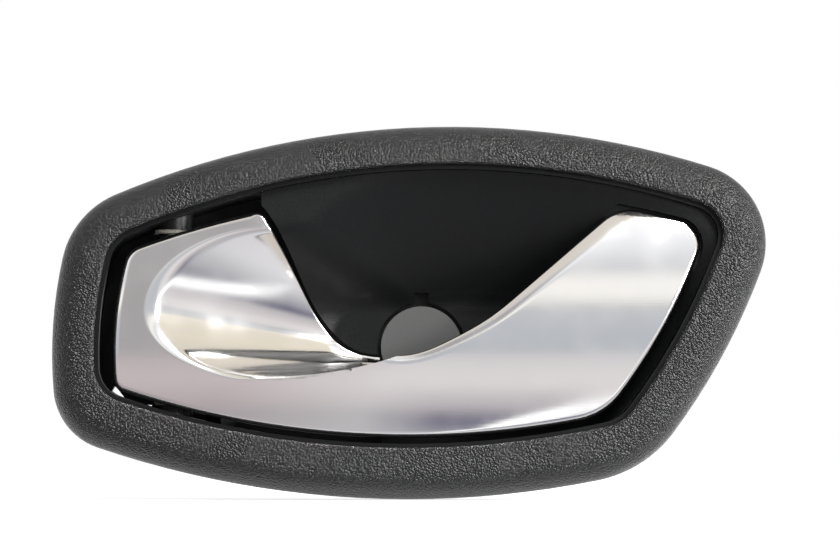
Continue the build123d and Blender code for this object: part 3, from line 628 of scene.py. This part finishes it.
# %% Lever
EDGE_ROUND, FREE_ROUND, ROUND_REACH = 1.1, 0.45, (0.6, 3.0)
LEVER_CLEAR, LEVER_GRID = 0.05, 0.45
lever_loop = even_loop(lever_line, STEP)
lever_loop = lever_loop + inward(lever_loop) * LEVER_CLEAR
thin_edge = np.concatenate([opening, bevel_line])[::3]
from_thin = np.linalg.norm(lever_loop[:, None] - thin_edge[None], axis=2).min(axis=1)
lever_rounding = np.interp(from_thin, ROUND_REACH, (FREE_ROUND, EDGE_ROUND))
lever_block = carving_block(
    "lever_block", lever_loop, lever_rounding, lever_level, 0.0, LEVER_GRID, scoop_rows()
)
lever_piece = carved("lever_face", "lever", [(lever_block, "INTERSECT")])
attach(lever_piece, "handle")

# %% [markdown]
# The bowl's well is open at one corner behind the lever. A thin web spans most of that corner, so
# only a sliver of daylight shows past the lever. The web is part of the bowl's moulding, so its
# plate is joined to the bowl's mesh and isn't a piece of its own.

# %% Corner web
WEB_SLIVER = [(-70.6, -8.0), (-69.0, -9.8), (-67.2, -12.1), (-65.0, -12.95), (-60.0, -13.3)]
WEB_EDGE = [*WEB_SLIVER, (-59.8, -7.0), (-70.6, -6.8)]
WEB_BACK, WEB_THICK, WEB_CHAMFER = 12.1, 1.2, 0.25


def plate(name, edge, back, thick, chamfer):
    """A flat plate over an anticlockwise edge, with a chamfer round its front."""
    edge = np.array(edge)
    rings = [(edge, back), (edge, back + thick - chamfer), (edge + inward(edge) * chamfer, back + thick)]
    count = len(edge)
    points = [Vector((x, -level, z)) * MM for ring, level in rings for x, z in ring]
    faces = [tuple(range(count))[::-1], tuple(range(2 * count, 3 * count))]
    for low in (0, count):
        pairs = [(low + i, low + (i + 1) % count) for i in range(count)]
        faces += [(a, b, b + count, a + count) for a, b in pairs]
    mesh = bpy.data.meshes.new(name)
    mesh.from_pydata(points, [], faces)
    return bpy.data.objects.new(name, mesh)


web = plate("corner_web", WEB_EDGE, WEB_BACK, WEB_THICK, WEB_CHAMFER)
print("corner web", len(web.data.polygons), "faces")

# %% [markdown]
# The bowl is the smooth black tub that the fingers reach into. The block that is cut from its solid
# fills the space in front of the soft face, so the tub's back, ears and boss stay as they are.

# %% Bowl
POCKET_STEP, POCKET_CLEAR, POCKET_SHARP = 0.6, 0.02, 0.05
BLOCK_FRONT, BOWL_GRID = 42.0, 0.7
pocket_loop = even_loop(pocket_line, POCKET_STEP)
pocket_loop = pocket_loop + inward(pocket_loop) * POCKET_CLEAR
sharp = np.full(len(pocket_loop), POCKET_SHARP)
bowl_block = carving_block("bowl_block", pocket_loop, sharp, bowl_level, BLOCK_FRONT, BOWL_GRID)
bowl_piece = carved("bowl_face", "bowl", [(bowl_block, "DIFFERENCE"), (web, "UNION")])
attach(bowl_piece, "housing")

# %% [markdown]
# ## Spring and screws
# These repeat or follow a path, so Geometry Nodes make them from a few named sizes. Modelling each
# by hand would look the same, but then a new size would mean a new mesh. The spring is one wire: a
# fixed leg, a left-hand coil about the pivot and a moving leg.

# %% Node helpers
GROWN_SHARP_ANGLE = math.radians(40)


def node_group(name, sockets):
    """A Geometry Nodes group with named inputs, the values it is given and its result's socket."""
    group = bpy.data.node_groups.new(name, "GeometryNodeTree")
    for label, kind in sockets.items():
        group.interface.new_socket(label, in_out="INPUT", socket_type="NodeSocket" + kind)
    group.interface.new_socket("Geometry", in_out="OUTPUT", socket_type="NodeSocketGeometry")
    return group, group.nodes.new("NodeGroupInput").outputs, group.nodes.new("NodeGroupOutput").inputs[0]


def step(group, kind, settings=None, **inputs):
    """A node of a group, with settings on it and values or links on its inputs. Gives its outputs."""
    made = group.nodes.new(kind)
    for key, value in (settings or {}).items():
        setattr(made, key, value)
    for key, value in inputs.items():
        for source in value if isinstance(value, list) else [value]:
            socket = made.inputs[key.replace("_", " ")]
            if isinstance(source, bpy.types.NodeSocket):
                group.links.new(source, socket)
            else:
                socket.default_value = source
    return made.outputs


def close_group(group, geometry, look, out):
    """The end of a group: real meshes that wear their finish."""
    real = step(group, "GeometryNodeRealizeInstances", Geometry=geometry)["Geometry"]
    dressed = step(group, "GeometryNodeSetMaterial", Geometry=real, Material=look)["Geometry"]
    group.links.new(dressed, out)


def grown(name, group, points, sizes):
    """A piece that a node group makes on some points, turned into a plain mesh."""
    mesh = bpy.data.meshes.new(name)
    mesh.from_pydata([Vector(point) * MM for point in points], [], [])
    piece = bpy.data.objects.new(name, mesh)
    scene.collection.objects.link(piece)
    maker = piece.modifiers.new("maker", "NODES")
    maker.node_group = group
    for item in group.interface.items_tree:
        if item.in_out == "INPUT" and item.name in sizes:
            maker[item.identifier] = sizes[item.name]
    result = plain_mesh(piece)
    piece.modifiers.clear()
    piece.data = result
    result.set_sharp_from_angle(angle=GROWN_SHARP_ANGLE)
    print(name, len(result.polygons), "faces")
    return piece


# %% Spring
SPRING_SIZES = {"Mean Radius": 4.1 * MM, "Wire Radius": 0.6 * MM, "Turns": 7 + 1 / 6, "Height": 9.675 * MM}
SPRING_LEGS = {"Fixed Leg": 12.0 * MM, "Moving Leg": 9.5 * MM}
SPRING_BASE = Vector((-56.0, -23.4, -0.2)) * MM
SPRING_START = math.radians(-30)
WHOLE_CURVE, BY_DIRECTION = {"mode": "FACTOR", "use_all_curves": True}, {"mode": "DIRECTION"}

spring_sockets = {label: "Float" for label in [*SPRING_SIZES, *SPRING_LEGS]}
spring_group, given, out = node_group("wire_spring", {**spring_sockets, "Finish": "Material"})
coil = step(
    spring_group, "GeometryNodeCurveSpiral", Resolution=40, Rotations=given["Turns"],
    Start_Radius=given["Mean Radius"], End_Radius=given["Mean Radius"], Height=given["Height"],
)["Curve"]
wire_round = step(
    spring_group, "GeometryNodeCurvePrimitiveCircle", Resolution=12, Radius=given["Wire Radius"]
)["Curve"]
wires = [coil]
for share, way, leg in ((0.0, -1, "Fixed Leg"), (1.0, 1, "Moving Leg")):
    end = step(spring_group, "GeometryNodeSampleCurve", WHOLE_CURVE, Curves=coil, Factor=share)
    aim = step(
        spring_group, "ShaderNodeVectorMath", {"operation": "SCALE"}, Vector=end["Tangent"], Scale=way
    )["Vector"]
    line = {"Start": end["Position"], "Direction": aim, "Length": given[leg]}
    wires.append(step(spring_group, "GeometryNodeCurvePrimitiveLine", BY_DIRECTION, **line)["Curve"])
tubes = []
for curve in wires:
    tube = step(
        spring_group, "GeometryNodeCurveToMesh", Curve=curve, Profile_Curve=wire_round, Fill_Caps=True
    )
    tubes.append(tube["Mesh"])
joined = step(spring_group, "GeometryNodeJoinGeometry", Geometry=tubes)["Geometry"]
turned = step(
    spring_group, "GeometryNodeTransform", Geometry=joined, Translation=SPRING_BASE,
    Rotation=(0, 0, SPRING_START),
)["Geometry"]
smooth = step(spring_group, "GeometryNodeSetShadeSmooth", Geometry=turned)["Geometry"]
close_group(spring_group, smooth, given["Finish"], out)
spring = grown("coil_spring", spring_group, [], {**SPRING_SIZES, **SPRING_LEGS, "Finish": wire})
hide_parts("return_spring")
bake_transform(spring)

# %% [markdown]
# A screw is a tapered head with a cross recess, a core and a thread. It is made once, standing on
# its head, then turned towards the cabin and set on each screw's place.

# %% Screw tree
HEAD = {"Head Radius": 2.0 * MM, "Face Radius": 1.6 * MM, "Head Height": 1.6 * MM}
RECESS = {"Recess Width": 0.55 * MM, "Recess Span": 2.4 * MM}
THREAD = {"Core Radius": 0.86 * MM, "Thread Radius": 0.22 * MM}

screw_sockets = {label: "Float" for label in [*HEAD, *RECESS, *THREAD, "Shank Length", "Thread Turns"]}
screw_inputs = {"Places": "Geometry", **screw_sockets, "Finish": "Material"}
screw_group, given, out = node_group("cross_screws", screw_inputs)
head = step(
    screw_group, "GeometryNodeMeshCone", Vertices=40, Radius_Top=given["Head Radius"],
    Radius_Bottom=given["Face Radius"], Depth=given["Head Height"],
)["Mesh"]
slots = []
for wide, long in (("Recess Width", "Recess Span"), ("Recess Span", "Recess Width")):
    size = step(
        screw_group, "ShaderNodeCombineXYZ", X=given[wide], Y=given[long], Z=given["Head Height"]
    )["Vector"]
    slots.append(step(screw_group, "GeometryNodeMeshCube", Size=size)["Mesh"])
recessed = step(
    screw_group, "GeometryNodeMeshBoolean", {"operation": "DIFFERENCE"}, Mesh_1=head, Mesh_2=slots
)["Mesh"]
core = step(
    screw_group, "GeometryNodeMeshCone", Vertices=24, Radius_Top=given["Core Radius"],
    Radius_Bottom=given["Core Radius"], Depth=given["Shank Length"],
)["Mesh"]
thread_path = step(
    screw_group, "GeometryNodeCurveSpiral", Resolution=20, Rotations=given["Thread Turns"],
    Start_Radius=given["Core Radius"], End_Radius=given["Core Radius"], Height=given["Shank Length"],
)["Curve"]
ridge = step(
    screw_group, "GeometryNodeCurvePrimitiveCircle", Resolution=4, Radius=given["Thread Radius"]
)["Curve"]
thread = step(
    screw_group, "GeometryNodeCurveToMesh", Curve=thread_path, Profile_Curve=ridge, Fill_Caps=True
)["Mesh"]
shank = step(screw_group, "GeometryNodeJoinGeometry", Geometry=[core, thread])["Geometry"]
past_head = step(screw_group, "ShaderNodeCombineXYZ", Z=given["Head Height"])["Vector"]
shank = step(screw_group, "GeometryNodeTransform", Geometry=shank, Translation=past_head)["Geometry"]
screw = step(screw_group, "GeometryNodeJoinGeometry", Geometry=[recessed, shank])["Geometry"]
to_cabin = step(
    screw_group, "GeometryNodeTransform", Geometry=screw, Rotation=(math.radians(90), 0, 0)
)["Geometry"]
placed = step(
    screw_group, "GeometryNodeInstanceOnPoints", Points=given["Places"], Instance=to_cabin
)["Instances"]
close_group(screw_group, placed, given["Finish"], out)
print(screw_group.name, len(screw_group.nodes), "nodes")

# %% Screws in place
PITCH = 0.8 * MM
BEZEL_SCREWS = [(-31.8, -27.6, -25.2), (26.0, -27.6, -25.2), (70.2, -27.6, 19.8), (-76.1, -27.6, 9.8)]
CARRIER_SCREWS = [(-62.8, -26.0, -3.5), (-62.8, -26.0, 13.2)]
BEZEL_SHANK, CARRIER_SHANK = 5.7 * MM, 3.7 * MM

for node_name, body, places, shank_length in (
    ("bezel_screws", "housing", BEZEL_SCREWS, BEZEL_SHANK),
    ("carrier_screws", "handle", CARRIER_SCREWS, CARRIER_SHANK),
):
    lengths = {"Shank Length": shank_length, "Thread Turns": shank_length / PITCH}
    sizes = {**HEAD, **RECESS, **THREAD, **lengths, "Finish": steel}
    screws = grown("threaded_" + node_name, screw_group, places, sizes)
    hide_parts(node_name)
    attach(screws, body)

# %% [markdown]
# ## Floor, background and light
# The photograph's background is pure white. The world and the floor are white to the camera and
# in reflections, and give the object only a modest fill. The floor keeps the object's shadow.

# %% World
WORLD_FILL, WORLD_SEEN = 0.5, 1.0


def background_rays(tree):
    """1 for the rays that show the background: straight to the camera, mirrored or through glass."""
    seen = tree.nodes.new("ShaderNodeLightPath")
    rays = seen.outputs["Is Camera Ray"]
    for kind in ("Is Glossy Ray", "Is Transmission Ray"):
        either = tree.nodes.new("ShaderNodeMath")
        either.operation = "MAXIMUM"
        tree.links.new(rays, either.inputs[0])
        tree.links.new(seen.outputs[kind], either.inputs[1])
        rays = either.outputs[0]
    return rays


def ray_strength(tree, plain, background, socket):
    """A light's strength: one value for its light on the object, one for where it is seen."""
    strength = tree.nodes.new("ShaderNodeMapRange")
    strength.inputs["To Min"].default_value = plain
    strength.inputs["To Max"].default_value = background
    tree.links.new(background_rays(tree), strength.inputs["Value"])
    tree.links.new(strength.outputs["Result"], socket)


world = bpy.data.worlds.new("studio")
scene.world = world
world.use_nodes = True
sky = world.node_tree.nodes["Background"]
sky.inputs["Color"].default_value = (1, 1, 1, 1)
ray_strength(world.node_tree, WORLD_FILL, WORLD_SEEN, sky.inputs["Strength"])
scene.view_settings.view_transform = "Standard"
print("world:", world.name, "fill", WORLD_FILL, "seen", WORLD_SEEN)


# %% Floor
FLOOR_HALF, FLOOR_GAP = 4, 0.2 * MM
FLOOR_FILL, FLOOR_SEEN = 0.0, 0.62


def stage_sheet(name, points, faces, material):
    """A sheet of the studio, which isn't part of the object."""
    mesh = bpy.data.meshes.new(name)
    mesh.from_pydata(points, [], faces)
    mesh.materials.append(material)
    sheet = bpy.data.objects.new(name, mesh)
    scene.collection.objects.link(sheet)
    print(name, len(faces), "faces")
    return sheet


floor_level = cad_box[0].z - FLOOR_GAP
corner_ways = ((-1, -1), (1, -1), (1, 1), (-1, 1))
floor_corners = [(x * FLOOR_HALF, y * FLOOR_HALF, floor_level) for x, y in corner_ways]
pale, pale_shader = finish(
    "pale_floor", Base_Color=(0.9, 0.9, 0.9, 1), Roughness=0.9, Specular_IOR_Level=0.0,
    Emission_Color=(1, 1, 1, 1),
)
ray_strength(pale.node_tree, FLOOR_FILL, FLOOR_SEEN, pale_shader.inputs["Emission Strength"])
stage_sheet("floor", floor_corners, [(0, 1, 2, 3)], pale)

# %% [markdown]
# Chrome shows nothing but its surroundings, so the studio has some tones to mirror: a tall curved
# screen in front of the handle, grey at its foot with a pale strip above and a cream upper part,
# and a cloth on the floor with a dark band and a bright wedge on it. Only mirrored rays see them.
# An image file would do too, but a few plain tones are easier to place and to change.

# %% Reflected tones
# A tone is a place from 0 to 1 and its colour. The screen's tones run up from its foot, and its
# shares run from left to right.
SCREEN_TONES = [
    (0.0, (0.54, 0.57, 0.61)),
    (0.11, (0.6, 0.62, 0.66)),
    (0.128, (0.5, 0.5, 0.51)),
    (0.14, (0.86, 0.86, 0.84)),
    (0.165, (1.12, 1.1, 1.05)),
    (0.21, (1.12, 1.1, 1.05)),
    (0.26, (0.76, 0.77, 0.79)),
    (0.33, (0.95, 0.97, 1.0)),
    (0.42, (0.95, 0.95, 0.95)),
    (0.52, (0.76, 0.73, 0.69)),
    (0.7, (0.78, 0.73, 0.66)),
    (1.0, (0.76, 0.71, 0.62)),
]
SIDE_TONES = [
    (0.0, (0.56, 0.56, 0.57)),
    (0.09, (0.6, 0.6, 0.6)),
    (0.12, (0.86, 0.81, 0.69)),
    (0.6, (0.9, 0.83, 0.69)),
    (1.0, (0.76, 0.71, 0.6)),
]
SIDE_SHARE = [(0.72, (0, 0, 0)), (0.79, (1, 1, 1))]
LEFT_SHARE = [(0.35, (0, 0, 0)), (0.395, (1, 1, 1)), (0.445, (1, 1, 1)), (0.49, (0, 0, 0))]
LEFT_TOP = [(0.42, (1, 1, 1)), (0.55, (0, 0, 0))]
LEFT_TONE = (0.44, 0.425, 0.43, 1)
# The cloth's tones run away from the handle, and its shares and tints run from left to right.
CLOTH_TONES = [
    (0.0, (0.86, 0.86, 0.88)),
    (0.018, (0.8, 0.8, 0.82)),
    (0.034, (0.58, 0.58, 0.6)),
    (0.08, (0.56, 0.55, 0.56)),
    (0.13, (0.72, 0.68, 0.69)),
    (0.22, (0.84, 0.81, 0.81)),
    (1.0, (0.7, 0.69, 0.7)),
]
SHADE_TONES = [
    (0.0, (0.86, 0.86, 0.88)),
    (0.018, (0.8, 0.8, 0.82)),
    (0.034, (0.56, 0.56, 0.59)),
    (0.05, (0.34, 0.34, 0.39)),
    (0.06, (0.2, 0.2, 0.26)),
    (0.075, (0.26, 0.25, 0.31)),
    (0.1, (0.55, 0.52, 0.54)),
    (0.2, (0.84, 0.81, 0.81)),
    (1.0, (0.7, 0.69, 0.7)),
]
SHADE_SHARE = [(0.42, (0, 0, 0)), (0.52, (1, 1, 1)), (0.7, (1, 1, 1)), (0.8, (0, 0, 0))]
CLOTH_TINTS = [(0.2, (0.76, 0.7, 0.71)), (0.42, (1, 1, 1))]
GLOW_TONES = [(0.25, (0, 0, 0)), (0.36, (1.5, 1.5, 1.5)), (0.54, (1.5, 1.5, 1.5)), (0.65, (0, 0, 0))]
print("tones:", len(SCREEN_TONES), "on the screen,", len(CLOTH_TONES), "on the cloth")


# %% Tone helpers
def tones(material, value, steps):
    """A colour ramp with a few named tones along a value from 0 to 1."""
    ramp = node(material, "ValToRGB", Fac=value)
    while len(ramp.color_ramp.elements) < len(steps):
        ramp.color_ramp.elements.new(1.0)
    for element, (place, colour) in zip(ramp.color_ramp.elements, steps):
        element.position = place
        element.color = (*colour, 1)
    return ramp.outputs["Color"]


def mixed(material, kind, share, first, second):
    """Two colours, mixed in a way that has a name."""
    made = node(material, "Mix", {"data_type": "RGBA", "blend_type": kind})
    for socket, value in ((0, share), (6, first), (7, second)):
        if isinstance(value, bpy.types.NodeSocket):
            join(material, value, made.inputs[socket])
        else:
            made.inputs[socket].default_value = value
    return made.outputs[2]


def glowing(name):
    """A material that shows only its own colour, and the place on it along X, Y and Z."""
    material, shader = finish(name, Base_Color=(0, 0, 0, 1), Emission_Strength=1.0, Specular_IOR_Level=0.0)
    place = node(material, "SeparateXYZ", Vector=node(material, "TexCoord").outputs["Object"])
    return material, shader.inputs["Emission Color"], place


def mirrored_only(sheet):
    """A sheet that mirrored rays see, and nothing else."""
    sheet.visible_camera = sheet.visible_diffuse = sheet.visible_shadow = sheet.visible_transmission = False


# %% [markdown]
# The screen is part of a ball round the handle, so every slope of the chrome finds some of it. Its
# tones go by height, with a cream side on the right and one darker strip left of the middle.

# %% Screen
SCREEN_RADIUS = 1.6
SCREEN_TURNS, SCREEN_RISES = (-88, 88), (-4, 88)
ROUND, RISE = 48, 24

screen, screen_colour, place = glowing("screen")
height = node(screen, "MapRange", Value=place.outputs["Z"], From_Max=SCREEN_RADIUS)
across = node(screen, "MapRange", Value=place.outputs["X"], From_Min=-SCREEN_RADIUS, From_Max=SCREEN_RADIUS)
height, across = height.outputs["Result"], across.outputs["Result"]
left = mixed(screen, "MULTIPLY", 1.0, tones(screen, across, LEFT_SHARE), tones(screen, height, LEFT_TOP))
front = mixed(screen, "MIX", left, tones(screen, height, SCREEN_TONES), LEFT_TONE)
side = tones(screen, height, SIDE_TONES)
join(screen, mixed(screen, "MIX", tones(screen, across, SIDE_SHARE), front, side), screen_colour)
turns = np.radians(np.linspace(*SCREEN_TURNS, ROUND + 1))
rises = np.radians(np.linspace(*SCREEN_RISES, RISE + 1))
screen_points = []
for rise in rises:
    flat, top = math.cos(rise) * SCREEN_RADIUS, math.sin(rise) * SCREEN_RADIUS
    screen_points += [(math.sin(turn) * flat, -math.cos(turn) * flat, top) for turn in turns]
row = ROUND + 1
screen_faces = []
for low in range(0, RISE * row, row):
    screen_faces += [(low + i, low + i + 1, low + row + i + 1, low + row + i) for i in range(ROUND)]
mirrored_only(stage_sheet("screen", screen_points, screen_faces, screen))

# %% [markdown]
# The cloth lies just above the floor and starts at the handle's face. Its bright wedge opens from a
# point near the handle, and the scoop mirrors it as a white band.

# %% Cloth
CLOTH_LENGTH, CLOTH_REACH, CLOTH_RISE = 1.0, 1.62, 0.1 * MM
TINT_REACH = 0.1
GLOW_FROM, GLOW_TURNS = (-0.004, 0.019), (0.3, 0.9)

cloth, cloth_colour, place = glowing("cloth")
near, far = cad_box[0].y, cad_box[0].y - CLOTH_LENGTH
ahead = node(cloth, "MapRange", Value=place.outputs["Y"], From_Min=near, From_Max=far).outputs["Result"]
across = node(cloth, "MapRange", Value=place.outputs["X"], From_Min=-TINT_REACH, From_Max=TINT_REACH)
across = across.outputs["Result"]
turn = node(cloth, "Math", {"operation": "ARCTAN2"})
for number, (axis, start) in enumerate(zip((place.outputs["X"], ahead), GLOW_FROM)):
    offset = node(cloth, "Math", {"operation": "SUBTRACT"})
    join(cloth, axis, offset.inputs[0])
    offset.inputs[1].default_value = start
    join(cloth, offset.outputs[0], turn.inputs[number])
beam = node(cloth, "MapRange", Value=turn.outputs[0], From_Min=GLOW_TURNS[0], From_Max=GLOW_TURNS[1])
glow = tones(cloth, beam.outputs["Result"], GLOW_TONES)
plain = mixed(cloth, "MULTIPLY", 1.0, tones(cloth, ahead, CLOTH_TONES), tones(cloth, across, CLOTH_TINTS))
shaded = mixed(cloth, "MIX", tones(cloth, across, SHADE_SHARE), plain, tones(cloth, ahead, SHADE_TONES))
join(cloth, mixed(cloth, "LIGHTEN", 1.0, shaded, glow), cloth_colour)
cloth_level = floor_level + CLOTH_RISE
cloth_sides = [
    (-CLOTH_REACH, near),
    (-CLOTH_REACH, -CLOTH_REACH),
    (CLOTH_REACH, -CLOTH_REACH),
    (CLOTH_REACH, near),
]
mirrored_only(stage_sheet("cloth", [(x, y, cloth_level) for x, y in cloth_sides], [(0, 1, 2, 3)], cloth))

# %% [markdown]
# ## Lamps
# Black plastic shows its form by its sheen. Three soft lamps stand in front and to the right, as
# the sheen in the photograph suggests: one high, one well round to the side and a small weak one
# near the handle's own height. The white world alone would leave the grain flat.

# %% Lamps
# A lamp has a place and a size in metres, and a power in watts.
LAMPS = {
    "lamp_right": ((0.24, -0.64, 0.5), 0.22, 9),
    "lamp_side": ((0.8, -0.36, 0.12), 0.3, 9),
    "lamp_front": ((0.42, -0.66, 0.08), 0.14, 3),
}


def soft_lamp(name, place, size, power):
    """A square area lamp that looks at the handle."""
    data = bpy.data.lights.new(name, "AREA")
    data.energy, data.size = power, size
    lamp = bpy.data.objects.new(name, data)
    lamp.location = place
    lamp.rotation_euler = (AIM - Vector(place)).to_track_quat("-Z", "Y").to_euler()
    scene.collection.objects.link(lamp)


for name, (place, size, power) in LAMPS.items():
    soft_lamp(name, place, size, power)
print("lamps:", [light.name for light in bpy.data.lights])
